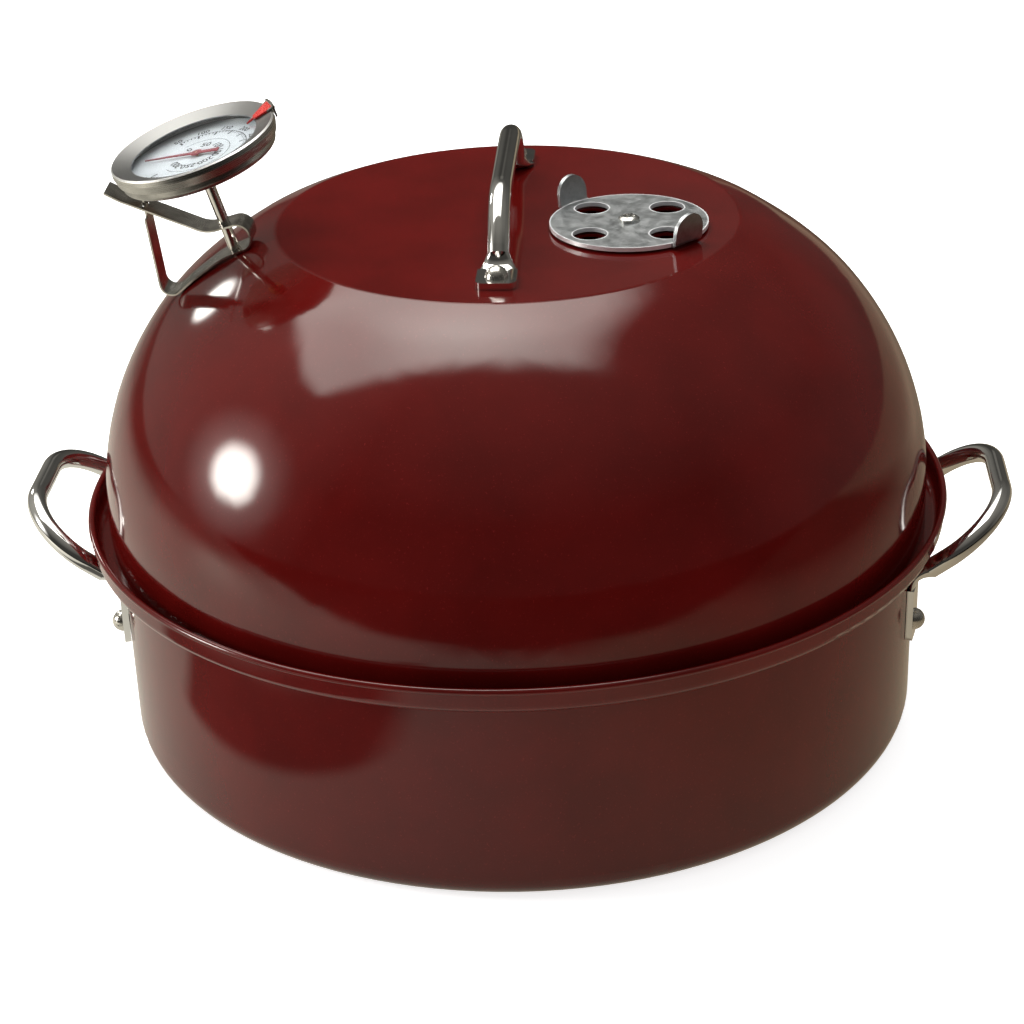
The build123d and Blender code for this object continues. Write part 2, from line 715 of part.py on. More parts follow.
parts = {
    "pan_body": make_pan_body,
    "pan_handle_right": make_pan_handle,
    "pan_handle_left": lambda: Rot(0, 0, 180) * make_pan_handle(),
    "pan_handle_rivets": make_pan_handle_rivets,
    "drip_tray": make_drip_tray,
    "rack_ring": make_rack_ring,
    "rack_bars": make_rack_bars,
    "rack_cross_rods": make_rack_rods,
    "lid_shell": make_lid_shell,
    "lid_handle": make_lid_handle,
    "lid_handle_rivets": make_lid_handle_rivets,
    "vent_disc": make_vent_disc,
    "vent_screw": make_vent_screw,
    "vent_spacer": make_vent_spacer,
    "vent_lock_washer": make_vent_lock_washer,
    "vent_nut": make_vent_nut,
    "thermometer_case": make_thermometer_case,
    "thermometer_bezel": make_thermometer_bezel,
    "thermometer_lens": make_thermometer_lens,
    "lens_gasket": make_lens_gasket,
    "dial_plate": make_dial_plate,
    "dial_pointer": make_dial_pointer,
    "pointer_shaft": make_pointer_shaft,
    "stem_bushing": make_stem_bushing,
    "stem_tube": make_stem_tube,
    "bimetal_coil": make_bimetal_coil,
    "set_marker": make_set_marker,
    "thermometer_clip": make_thermometer_clip,
}

os.makedirs("parts", exist_ok=True)
for name, make in parts.items():
    shape = make()
    solids = shape if isinstance(shape, list) else shape.solids()
    export_step(Compound(children=[solid for solid in solids]), f"parts/{name}.step")
    print(name, len(solids), round(sum(solid.volume for solid in solids), 1))
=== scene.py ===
import json
import math

import bmesh
import bpy
import numpy as np
from mathutils import Matrix, Vector


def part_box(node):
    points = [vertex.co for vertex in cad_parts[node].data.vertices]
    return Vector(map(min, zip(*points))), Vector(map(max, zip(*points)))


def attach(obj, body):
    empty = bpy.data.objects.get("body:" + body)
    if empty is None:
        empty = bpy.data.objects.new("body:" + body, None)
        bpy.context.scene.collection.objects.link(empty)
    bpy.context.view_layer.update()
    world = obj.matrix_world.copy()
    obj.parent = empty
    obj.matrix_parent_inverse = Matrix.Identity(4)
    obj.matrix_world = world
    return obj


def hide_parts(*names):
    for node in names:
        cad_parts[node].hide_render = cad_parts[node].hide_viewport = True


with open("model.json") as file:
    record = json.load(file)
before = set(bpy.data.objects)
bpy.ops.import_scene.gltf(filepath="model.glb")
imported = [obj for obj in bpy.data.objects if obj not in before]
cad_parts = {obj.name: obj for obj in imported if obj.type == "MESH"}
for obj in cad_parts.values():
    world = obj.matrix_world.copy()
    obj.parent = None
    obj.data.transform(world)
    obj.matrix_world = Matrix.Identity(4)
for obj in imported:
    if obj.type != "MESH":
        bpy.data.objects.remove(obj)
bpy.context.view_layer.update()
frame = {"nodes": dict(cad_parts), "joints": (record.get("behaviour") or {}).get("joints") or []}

bl_info = {
    "name": "Stovetop Smoker",
    "version": (1, 0, 0),
    "blender": (4, 5, 0),
    "location": "View3D > Sidebar > Smoker",
    "description": "Finishes and small detail for an enamelled stovetop smoker, and its studio",
    "category": "Object",
}

MM = 0.001

# The vent disc as the CAD makes it: its rim, its ports and how far out their middles stand
VENT_RADIUS = 34.8 * MM
PORT_RADIUS = 7.5 * MM
PORT_REACH = 23.5 * MM

# The thermometer's bezel as the CAD makes it: its side, and the bevel between that and its face
BEZEL_RADIUS = 37.2 * MM
BEZEL_BEVEL = 0.6 * MM

# Bearing of the spring clip from the thermometer's axis, from which the dial's angles are counted
CLIP_BEARING = math.radians(177)


# Places in the frame, in metres


def axis_frame(origin, axis, heading):
    """Matrix whose Z is the axis and whose X is the heading made square to it."""
    z = Vector(axis).normalized()
    x = Vector(heading)
    x = (x - z * x.dot(z)).normalized()
    y = z.cross(x)
    matrix = Matrix((x, y, z)).transposed().to_4x4()
    matrix.translation = Vector(origin)
    return matrix


def joint_named(name):
    """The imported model's joint of that name."""
    return next(joint for joint in frame["joints"] if joint["name"] == name)


pointer_joint = joint_named("pointer_turn")
clip_heading = (math.cos(CLIP_BEARING), math.sin(CLIP_BEARING), 0)
dial_frame = axis_frame(pointer_joint["pos_m"], pointer_joint["axis"], clip_heading)
vent_centre = Vector(joint_named("vent_turn")["pos_m"])


def mesh_points(mesh):
    """Points of a mesh, one to a row."""
    points = np.empty(len(mesh.vertices) * 3)
    mesh.vertices.foreach_get("co", points)
    return points.reshape(-1, 3)


def moved(points, matrix):
    """Points carried by a matrix."""
    m = np.array(matrix)
    return points @ m[:3, :3].T + m[:3, 3]


def points_seen_from(node, matrix):
    """A node's points at rest, in the coordinates of a matrix."""
    return moved(mesh_points(frame["nodes"][node].data), matrix.inverted())


def heights_along(node, matrix):
    """Lowest and highest height of a node along the Z of a matrix."""
    heights = points_seen_from(node, matrix)[:, 2]
    return heights.min(), heights.max()


# Meshes from arrays


def grid_faces(rows, columns, wrap_rows, wrap_columns):
    """Corner numbers of a grid's quads. Its last row or column joins the first on request."""
    row = np.arange(rows if wrap_rows else rows - 1)
    column = np.arange(columns if wrap_columns else columns - 1)
    r, c = np.meshgrid(row, column, indexing="ij")
    r_next, c_next = (r + 1) % rows, (c + 1) % columns
    corners = ((r, c), (r, c_next), (r_next, c_next), (r_next, c))
    return np.stack([a * columns + b for a, b in corners], -1).reshape(-1, 4)


def mesh_piece(name, points, faces, material, body, sharp_degrees=35):
    """Piece from an array of points and an array of faces, shaded smooth up to an angle."""
    mesh = bpy.data.meshes.new(name)
    mesh.from_pydata(points.reshape(-1, 3).tolist(), [], faces.tolist())
    mesh.shade_smooth()
    mesh.set_sharp_from_angle(angle=math.radians(sharp_degrees))
    mesh.materials.append(material)
    piece = bpy.data.objects.new(name, mesh)
    bpy.context.scene.collection.objects.link(piece)
    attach(piece, body)
    return piece


def weld(piece):
    """Closes the poles and seams of a grid, and turns its faces outwards."""
    work = bmesh.new()
    work.from_mesh(piece.data)
    bmesh.ops.remove_doubles(work, verts=work.verts, dist=1e-7)
    bmesh.ops.recalc_face_normals(work, faces=work.faces)
    work.to_mesh(piece.data)
    work.free()


def stage_sheet(name, corners, material, matrix=Matrix()):
    """Flat four-cornered sheet that belongs to the studio."""
    mesh = bpy.data.meshes.new(name)
    mesh.from_pydata(corners, [], [(0, 1, 2, 3)])
    mesh.materials.append(material)
    sheet = bpy.data.objects.new(name, mesh)
    sheet.matrix_world = matrix
    bpy.context.scene.collection.objects.link(sheet)
    return sheet


def facing(place, target):
    """Turn that points an object's -Z from a place to a target, with its Y upwards."""
    return (Vector(target) - Vector(place)).to_track_quat("-Z", "Y")


# Nodes


def linear(code):
    """Linear colour of an sRGB hex code."""
    srgb = np.array([int(code[i:i + 2], 16) for i in (1, 3, 5)]) / 255
    value = np.where(srgb <= 0.04045, srgb / 12.92, ((srgb + 0.055) / 1.055) ** 2.4)
    return (*value.tolist(), 1.0)


def scale_for(size_mm):
    """Noise scale whose blots are about so many millimetres wide."""
    return 1 / (size_mm * MM)


def add_node(tree, kind, inputs=(), **settings):
    """Adds a node with its settings, and gives its sockets values or links.
    The inputs are a dict by socket name, or stand in the order of the node's open sockets.
    A node given as a value is linked by its first open output."""
    node = tree.nodes.new("ShaderNode" + kind)
    for name, value in settings.items():
        setattr(node, name, value)
    if isinstance(inputs, dict):
        pairs = [(node.inputs[name], value) for name, value in inputs.items()]
    else:
        pairs = zip([socket for socket in node.inputs if socket.enabled], inputs)
    for socket, value in pairs:
        if isinstance(value, bpy.types.Node):
            value = next(output for output in value.outputs if output.enabled)
        if isinstance(value, bpy.types.NodeSocket):
            tree.links.new(value, socket)
        else:
            socket.default_value = value
    return node


def new_material(name):
    """Empty node material, its tree and the place on the piece in Object coordinates."""
    material = bpy.data.materials.new(name)
    material.use_nodes = True
    tree = material.node_tree
    tree.nodes.clear()
    return material, tree, add_node(tree, "TexCoord").outputs["Object"]


def shaded(tree, level, *rows, interpolation="LINEAR"):
    """A level times a share for each row.
    A row is a value, the two ends of its range, and the share at each end, 0 and 1 if not given."""
    for row in rows:
        share = add_node(tree, "MapRange", row, interpolation_type=interpolation)
        level = add_node(tree, "Math", (level, share), operation="MULTIPLY")
    return level


def away(tree, value, middle):
    """How far a value is from a middle, to either side."""
    off = add_node(tree, "Math", (value, middle), operation="SUBTRACT")
    return add_node(tree, "Math", (off,), operation="ABSOLUTE")


# Materials, named for what the real surface is


def vitreous_enamel(name, colour, deep, fleck):
    """Glass fired onto pressed steel: a deep body colour with fine flecks under a clear gloss that
    ripples faintly."""
    material, tree, place = new_material(name)
    # Uneven thickness of the fired coat, in clouds of about 40 mm
    cloud = add_node(tree, "TexNoise", (place, scale_for(40), 3))
    cloud = add_node(tree, "MapRange", (cloud, 0.35, 0.65))
    body = add_node(tree, "Mix", (cloud, linear(deep), linear(colour)), data_type="RGBA")
    # Flecks are really about 0.3 mm; they are drawn at 0.9 mm so that they just show
    spots = add_node(tree, "TexNoise", (place, scale_for(0.9), 1))
    spots = add_node(tree, "MapRange", (spots, 0.66, 0.8, 0.0, 0.5))
    body = add_node(tree, "Mix", (spots, body, linear(fleck)), data_type="RGBA")
    # Orange peel of the fired glass: waves of 9 mm, and a fifth as high a ripple of 1.6 mm
    wave = add_node(tree, "TexNoise", (place, scale_for(9), 1))
    ripple = add_node(tree, "TexNoise", (place, scale_for(1.6), 1))
    peel = add_node(tree, "Math", (ripple, 0.2, wave), operation="MULTIPLY_ADD")
    relief = add_node(tree, "Bump", {"Strength": 0.15, "Distance": 0.02 * MM, "Height": peel})
    grain = add_node(tree, "TexNoise", (place, scale_for(6), 2))
    shader = add_node(tree, "BsdfPrincipled", {
        "Base Color": body,
        "Roughness": add_node(tree, "MapRange", (grain, 0.3, 0.7, 0.5, 0.6)),
        "Specular IOR Level": 0.0,
        "Coat Weight": 1.0,
        "Coat Roughness": 0.09,
        "Coat IOR": 1.5,
        "Coat Normal": relief,
    })
    add_node(tree, "OutputMaterial", (shader,))
    return material


def chrome_plate(name, colour, roughness):
    """Bright chromium on polished bar: a hard mirror with the faint haze of handling."""
    material, tree, place = new_material(name)
    cloud = add_node(tree, "TexNoise", (place, scale_for(18), 2))
    tone = add_node(tree, "Mix", (cloud, linear(colour), linear("#efeeec")), data_type="RGBA")
    haze = add_node(tree, "TexNoise", (place, scale_for(7), 4))
    # Polishing leaves waves of about 4 mm in the bar
    wave = add_node(tree, "TexNoise", (place, scale_for(4), 1))
    relief = add_node(tree, "Bump", {"Strength": 0.3, "Distance": 0.01 * MM, "Height": wave})
    shader = add_node(tree, "BsdfPrincipled", {
        "Base Color": tone,
        "Metallic": 1.0,
        "Roughness": add_node(tree, "MapRange", (haze, 0.35, 0.75, roughness, roughness + 0.06)),
        "Normal": relief,
    })
    add_node(tree, "OutputMaterial", (shader,))
    return material


def turned_steel(name, colour, roughness, matrix, face=None):
    """Stainless steel finished on a lathe: rings of 0.35 mm round the axis break its reflections.
    A face, given as a radius, a height and a colour, is duller than the metal outside that radius,
    and the edge between them is painted white above that height, as a highlight."""
    material, tree, place = new_material(name)
    seen = add_node(
        tree, "Mapping", (place, matrix.translation, matrix.to_euler()), vector_type="TEXTURE"
    )
    flat = add_node(tree, "VectorMath", (seen, (1, 1, 0)), operation="MULTIPLY")
    radius = add_node(tree, "VectorMath", (flat,), operation="LENGTH")
    height = add_node(tree, "SeparateXYZ", (seen,)).outputs["Z"]
    across = add_node(tree, "Math", (radius, height), operation="ADD")
    rings = add_node(tree, "TexNoise", (across, scale_for(0.35), 2), noise_dimensions="1D")
    rough = add_node(tree, "MapRange", (rings, 0.3, 0.7, roughness, roughness + 0.12))
    smudge = add_node(tree, "TexNoise", (seen, scale_for(9), 3))
    smudge = add_node(tree, "MapRange", (smudge, 0.3, 0.7, 0.0, 0.4))
    tone = add_node(tree, "Mix", (smudge, linear(colour), linear("#d8d5cf")), data_type="RGBA")
    if face:
        edge, top, dull = face
        inside = add_node(tree, "MapRange", (radius, edge - 0.3 * MM, edge, 1.0, 0.0))
        tone = add_node(tree, "Mix", (inside, tone, linear(dull)), data_type="RGBA")
        rough = add_node(tree, "Math", (inside, 0.08, rough), operation="MULTIPLY_ADD")
        # Painted highlight: the face's edge, above its height, is mixed towards white
        painted_edge_highlight = shaded(tree, 1.0, (radius, edge - 0.2 * MM, edge), (height, top - 0.2 * MM, top))
        tone = add_node(tree, "Mix", (painted_edge_highlight, tone, linear("#ffffff")), data_type="RGBA")
    relief = add_node(tree, "Bump", {"Strength": 0.5, "Distance": 0.002 * MM, "Height": rings})
    shader = add_node(tree, "BsdfPrincipled", {
        "Base Color": tone,
        "Metallic": 1.0,
        "Roughness": rough,
        "Normal": relief,
    })
    add_node(tree, "OutputMaterial", (shader,))
    return material


def tumbled_sheet(name, colour, matrix):
    """Sheet aluminium tumbled after punching: satin and faintly mottled, its cut edges painted
    bright as a highlight.
    The four ports stand at the same offset from both axes, so one quarter's distance serves all."""
    material, tree, place = new_material(name)
    seen = add_node(
        tree, "Mapping", (place, matrix.translation, matrix.to_euler()), vector_type="TEXTURE"
    )
    flat = add_node(tree, "VectorMath", (seen, (1, 1, 0)), operation="MULTIPLY")
    radius = add_node(tree, "VectorMath", (flat,), operation="LENGTH")
    # Painted highlight: the disc's rim and the ports' edges are mixed towards near-white and made
    # less metallic
    rim = shaded(
        tree,
        1.0,
        (radius, VENT_RADIUS - 0.8 * MM, VENT_RADIUS - 0.3 * MM),
        (radius, VENT_RADIUS + 0.1 * MM, VENT_RADIUS + 0.3 * MM, 1.0, 0.0),
    )
    offset = PORT_REACH * math.sqrt(0.5)
    quarter = add_node(tree, "VectorMath", (flat,), operation="ABSOLUTE")
    quarter = add_node(tree, "VectorMath", (quarter, (offset, offset, 0)), operation="SUBTRACT")
    port = add_node(tree, "VectorMath", (quarter,), operation="LENGTH")
    lip = shaded(tree, 1.0, (port, PORT_RADIUS + 0.3 * MM, PORT_RADIUS + 0.8 * MM, 1.0, 0.0))
    painted_edge_highlight = add_node(tree, "Math", (rim, lip), operation="MAXIMUM")
    # Marks of the tumbling stones, of 5 mm and 1.2 mm
    coarse = add_node(tree, "TexNoise", (seen, scale_for(5), 4))
    fine = add_node(tree, "TexNoise", (seen, scale_for(1.2), 2))
    mottle = add_node(tree, "Mix", (0.3, coarse, fine))
    patch = add_node(tree, "MapRange", (mottle, 0.35, 0.65))
    tone = add_node(tree, "Mix", (patch, linear(colour), linear("#c0c3c6")), data_type="RGBA")
    # Near-white of the painted edge highlight
    tone = add_node(tree, "Mix", (painted_edge_highlight, tone, linear("#f4f5f6")), data_type="RGBA")
    relief = add_node(tree, "Bump", {"Strength": 0.2, "Distance": 0.02 * MM, "Height": mottle})
    shader = add_node(tree, "BsdfPrincipled", {
        "Base Color": tone,
        "Metallic": add_node(tree, "MapRange", (painted_edge_highlight, 0.0, 1.0, 1.0, 0.6)),
        "Roughness": add_node(tree, "MapRange", (mottle, 0.3, 0.7, 0.3, 0.46)),
        "Normal": relief,
    })
    add_node(tree, "OutputMaterial", (shader,))
    return material


def rolled_steel(name, colour, roughness, stretch=(1, 1, 1)):
    """Stainless strip or fastener: satin, with fine scratches and soft smudges."""
    material, tree, place = new_material(name)
    drawn = add_node(tree, "Mapping", {"Vector": place, "Scale": stretch})
    scratch = add_node(tree, "TexNoise", (drawn, scale_for(0.5), 4))
    smudge = add_node(tree, "TexNoise", (place, scale_for(8), 3))
    smudge = add_node(tree, "MapRange", (smudge, 0.3, 0.7))
    tone = add_node(tree, "Mix", (smudge, linear(colour), linear("#dcd9d3")), data_type="RGBA")
    relief = add_node(tree, "Bump", {"Strength": 0.35, "Distance": 0.006 * MM, "Height": scratch})
    shader = add_node(tree, "BsdfPrincipled", {
        "Base Color": tone,
        "Metallic": 1.0,
        "Roughness": add_node(tree, "MapRange", (scratch, 0.3, 0.7, roughness, roughness + 0.14)),
        "Normal": relief,
    })
    add_node(tree, "OutputMaterial", (shader,))
    return material


def painted(name, colour, second, roughness):
    """Stove-dried paint, moulded rubber or ink: even, with slight changes of tone and relief."""
    material, tree, place = new_material(name)
    cloud = add_node(tree, "TexNoise", (place, scale_for(5), 3))
    haze = add_node(tree, "TexNoise", (place, scale_for(2), 2))
    peel = add_node(tree, "TexNoise", (place, scale_for(0.8), 2))
    tone = add_node(tree, "Mix", (cloud, linear(colour), linear(second)), data_type="RGBA")
    shader = add_node(tree, "BsdfPrincipled", {
        "Base Color": tone,
        "Roughness": add_node(tree, "MapRange", (haze, 0.3, 0.7, roughness, roughness + 0.1)),
        "Normal": add_node(tree, "Bump", {"Strength": 0.3, "Distance": 0.006 * MM, "Height": peel}),
    })
    add_node(tree, "OutputMaterial", (shader,))
    return material


def window_glass(name):
    """Flat float glass: clear, with a faint film of dust, and lamps reach the dial through it."""
    material, tree, place = new_material(name)
    film = add_node(tree, "TexNoise", (place, scale_for(5), 3))
    glass = add_node(tree, "BsdfPrincipled", {
        "Base Color": linear("#fbfdfd"),
        "Roughness": add_node(tree, "MapRange", (film, 0.3, 0.8, 0.0, 0.05)),
        "IOR": 1.5,
        "Transmission Weight": 1.0,
    })
    clear = add_node(tree, "BsdfTransparent")
    shadow = add_node(tree, "LightPath").outputs["Is Shadow Ray"]
    add_node(tree, "OutputMaterial", (add_node(tree, "MixShader", (shadow, glass, clear)),))
    return material


def marked_steel(name, colour, matrix):
    """Spring steel tab with a stoved arrow, 4.2 mm to each side of its middle line.
    The arrow ends at the bezel's side, where the bare tab hangs over it."""
    material, tree, place = new_material(name)
    seen = add_node(
        tree, "Mapping", (place, matrix.translation, matrix.to_euler()), vector_type="TEXTURE"
    )
    axes = add_node(tree, "SeparateXYZ", (seen,)).outputs
    arrow = shaded(
        tree,
        1.0,
        (away(tree, axes["Y"], 0.0), 4.2 * MM, 4.4 * MM, 1.0, 0.0),
        (axes["X"], BEZEL_RADIUS - 0.1 * MM, BEZEL_RADIUS + 0.1 * MM, 1.0, 0.0),
    )
    tone = add_node(tree, "Mix", (arrow, linear("#a9a59d"), linear(colour)), data_type="RGBA")
    grain = add_node(tree, "TexNoise", (place, scale_for(0.6), 3))
    relief = add_node(tree, "Bump", {"Strength": 0.3, "Distance": 0.004 * MM, "Height": grain})
    shader = add_node(tree, "BsdfPrincipled", {
        "Base Color": tone,
        "Metallic": add_node(tree, "MapRange", (arrow, 0.0, 1.0, 1.0, 0.0)),
        "Roughness": add_node(tree, "MapRange", (grain, 0.3, 0.7, 0.2, 0.34)),
        "Normal": relief,
    })
    add_node(tree, "OutputMaterial", (shader,))
    return material


def dress(material, *nodes):
    """Gives CAD nodes a material through their objects' slots."""
    for name in nodes:
        piece = frame["nodes"][name]
        if not piece.material_slots:
            piece.data.materials.append(material)
        for slot in piece.material_slots:
            slot.material = material


# Settings that a user would change


class SmokerFinish(bpy.types.PropertyGroup):
    enamel: bpy.props.StringProperty(
        name="Enamel", description="Body colour of the enamel, as a hex code", default="#580c0a"
    )
    enamel_deep: bpy.props.StringProperty(
        name="Deep enamel", description="Enamel colour where the coat is thick", default="#4e0a08"
    )
    enamel_fleck: bpy.props.StringProperty(
        name="Fleck", description="Colour of the flecks in the enamel", default="#7e2020"
    )
    chrome: bpy.props.StringProperty(
        name="Chrome", description="Colour of the plated bars", default="#d0d1d3"
    )
    vent: bpy.props.StringProperty(
        name="Vent", description="Colour of the vent disc", default="#a3a7aa"
    )
    dial: bpy.props.StringProperty(
        name="Dial", description="Colour of the dial's face", default="#d0d5da"
    )
    signal: bpy.props.StringProperty(
        name="Signal red", description="Colour of the pointer", default="#842434"
    )
    marker: bpy.props.StringProperty(
        name="Marker", description="Colour of the set marker", default="#b8261f"
    )


class SmokerDial(bpy.types.PropertyGroup):
    scale_radius: bpy.props.FloatProperty(
        name="Scale radius",
        description="Radius of the dial's scale line",
        default=22.5 * MM,
        unit="LENGTH",
    )
    first_angle: bpy.props.FloatProperty(
        name="First mark",
        description="Angle of the scale's first mark",
        default=math.radians(33),
        subtype="ANGLE",
    )
    sweep: bpy.props.FloatProperty(
        name="Sweep",
        description="Angle from the first mark to the last",
        default=math.radians(270),
        subtype="ANGLE",
    )
    steps: bpy.props.IntProperty(
        name="Steps", description="Number of small steps on the scale", default=60
    )


class SmokerStage(bpy.types.PropertyGroup):
    eye: bpy.props.FloatVectorProperty(
        name="Eye",
        description="Place of the camera",
        default=(0.07438, -1.10524, 0.63157),
        subtype="XYZ",
    )
    sight: bpy.props.FloatVectorProperty(
        name="Sight",
        description="Point that the camera looks at",
        default=(-0.00258, -0.00018, 0.09346),
        subtype="XYZ",
    )
    roll: bpy.props.FloatProperty(
        name="Roll",
        description="Turn of the camera about its sight line",
        default=math.radians(-2.028),
        subtype="ANGLE",
    )
    lens: bpy.props.FloatProperty(
        name="Lens",
        description="Focal length in millimetres on a sensor 36 mm wide",
        default=92.695,
        unit="CAMERA",
    )


# Operators


class SMOKER_OT_enamel(bpy.types.Operator):
    """Enamels the pan, the lid and the drip tray"""

    bl_idname = "smoker.enamel"
    bl_label = "Enamelled Steel"

    def execute(self, context):
        finish = context.scene.smoker_finish
        red = vitreous_enamel(
            "vitreous_enamel_burgundy", finish.enamel, finish.enamel_deep, finish.enamel_fleck
        )
        dress(red, "pan_body", "lid_shell")
        self.rim_bead(red)
        black = vitreous_enamel("vitreous_enamel_black", "#141416", "#0e0e10", "#4b4b50")
        dress(black, "drip_tray")
        return {"FINISHED"}

    def rim_bead(self, red):
        """Rolled lip under the enamel on the rim's edge: a small circle carried round the axis."""
        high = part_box("pan_body")[1]
        bead, inset, drop = 1.5 * MM, 1.0 * MM, 1.3 * MM
        around, section = 288, 16
        turn, roll = np.meshgrid(
            np.linspace(0, 2 * np.pi, around, endpoint=False),
            np.linspace(0, 2 * np.pi, section, endpoint=False),
            indexing="ij",
        )
        radius = high[1] - inset + bead * np.cos(roll)
        height = high[2] - drop + bead * np.sin(roll)
        points = np.stack([radius * np.cos(turn), radius * np.sin(turn), height], -1)
        faces = grid_faces(around, section, True, True)
        weld(mesh_piece("rim_bead", points, faces, red, "pan"))


class SMOKER_OT_bars(bpy.types.Operator):
    """Plates the handles and the rack, and finishes the rivets"""

    bl_idname = "smoker.bars"
    bl_label = "Bars and Wires"

    def execute(self, context):
        bar = chrome_plate("chrome_plated_bar", context.scene.smoker_finish.chrome, 0.05)
        dress(bar, "pan_handle_left", "pan_handle_right", "lid_handle")
        wire = chrome_plate("chrome_plated_wire", "#cac8c4", 0.12)
        dress(wire, "rack_ring", "rack_bars", "rack_cross_rods")
        rivet = rolled_steel("nickel_plated_rivet", "#bdbab5", 0.16)
        dress(rivet, "pan_handle_rivets", "lid_handle_rivets")
        return {"FINISHED"}


class SMOKER_OT_vent(bpy.types.Operator):
    """Finishes the turning vent and its fixings"""

    bl_idname = "smoker.vent"
    bl_label = "Vent"

    def execute(self, context):
        colour = context.scene.smoker_finish.vent
        sheet = tumbled_sheet("tumbled_aluminium_sheet", colour, Matrix.Translation(vent_centre))
        dress(sheet, "vent_disc", "vent_spacer")
        zinc = rolled_steel("zinc_plated_steel", "#d6d8d8", 0.16)
        dress(zinc, "vent_screw", "vent_lock_washer", "vent_nut")
        self.screw(zinc)
        return {"FINISHED"}

    def screw(self, zinc):
        """Pan-head screw turned about its axis.
        Height falls with the fourth power of the radius over the head, less a cross recess.
        The shank's radius is a triangle wave of height plus turn, which winds into a thread."""
        low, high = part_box("vent_screw")
        head, shank, core = (high[0] - low[0]) / 2, 2.5 * MM, 1.9 * MM
        brow, under = high[2] - 1.4 * MM, high[2] - 2.3 * MM
        half_width, half_length, recess = 0.8 * MM, 2.9 * MM, 1.6 * MM
        pitch, cut = 0.8 * MM, 0.6 * MM
        columns = 96
        turn = np.linspace(0, 2 * np.pi, columns, endpoint=False)[None, :]
        level = np.ones_like(turn)

        out = np.linspace(0, 1, 40)[:, None] * level
        x, y = head * out * np.cos(turn + 0.5), head * out * np.sin(turn + 0.5)
        arms = [
            np.clip((half_width - abs(a)) / (0.1 * MM), 0, 1)
            * np.clip((half_length - abs(b)) / (0.2 * MM), 0, 1)
            for a, b in ((x, y), (y, x))
        ]
        crown = high[2] - 1.1 * MM * out**4 - recess * np.maximum(*arms) * (1 - 0.4 * out)

        side = np.array([[head, brow], [head, under], [shank, under]])
        drop = np.linspace(under - 0.2 * MM, low[2] + 0.3 * MM, 110)[:, None] * level
        wave = (drop / pitch + turn / (2 * np.pi)) % 1
        tip = np.array([[core, low[2]], [0.0, low[2]]])
        thread = shank - cut * abs(wave - 0.5)
        radius = np.concatenate([head * out, side[:, :1] * level, thread, tip[:, :1] * level])
        height = np.concatenate([crown, side[:, 1:] * level, drop, tip[:, 1:] * level])

        points = np.stack([radius * np.cos(turn), radius * np.sin(turn), height], -1).reshape(-1, 3)
        points[:, :2] += vent_centre[:2]
        faces = grid_faces(len(radius), columns, False, True)
        piece = mesh_piece("cross_head_screw", points, faces, zinc, "lid", 30)
        weld(piece)
        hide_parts("vent_screw")


class SMOKER_OT_thermometer(bpy.types.Operator):
    """Finishes the thermometer, its set marker and its spring clip"""

    bl_idname = "smoker.thermometer"
    bl_label = "Thermometer"

    def execute(self, context):
        finish = context.scene.smoker_finish
        dress(turned_steel("spun_steel_case", "#8f8e8a", 0.26, dial_frame), "thermometer_case")
        # The bezel's edge gets a painted white highlight from 0.8 mm below its top
        face_height = heights_along("thermometer_bezel", dial_frame)[1] - 0.8 * MM
        face = (BEZEL_RADIUS - BEZEL_BEVEL, face_height, "#858585")
        bezel = turned_steel("spun_steel_bezel", "#a9a8a4", 0.22, dial_frame, face)
        dress(bezel, "thermometer_bezel")
        dress(turned_steel("drawn_steel_stem", "#cfccc7", 0.1, dial_frame), "stem_tube")
        brass = turned_steel("turned_brass", "#c5a462", 0.25, dial_frame)
        dress(brass, "stem_bushing", "pointer_shaft")
        dress(rolled_steel("bimetal_strip", "#9c9a94", 0.3), "bimetal_coil")
        dress(window_glass("float_glass_window"), "thermometer_lens")
        dress(painted("nitrile_rubber_ring", "#141414", "#1d1d1d", 0.7), "lens_gasket")
        dress(painted("stoved_white_paint", finish.dial, "#cbd1d5", 0.45), "dial_plate")
        dress(painted("stoved_red_paint", finish.signal, "#7d1724", 0.35), "dial_pointer")
        x, y = points_seen_from("set_marker", dial_frame)[:, :2].mean(0)
        marker_frame = dial_frame @ Matrix.Rotation(math.atan2(y, x), 4, "Z")
        dress(marked_steel("red_arrow_on_spring_steel", finish.marker, marker_frame), "set_marker")
        # The strip's width lies along Y, and its rolling scratches run lengthwise
        strip = rolled_steel("polished_spring_steel", "#a8a49c", 0.08, (1, 30, 1))
        dress(strip, "thermometer_clip")
        return {"FINISHED"}


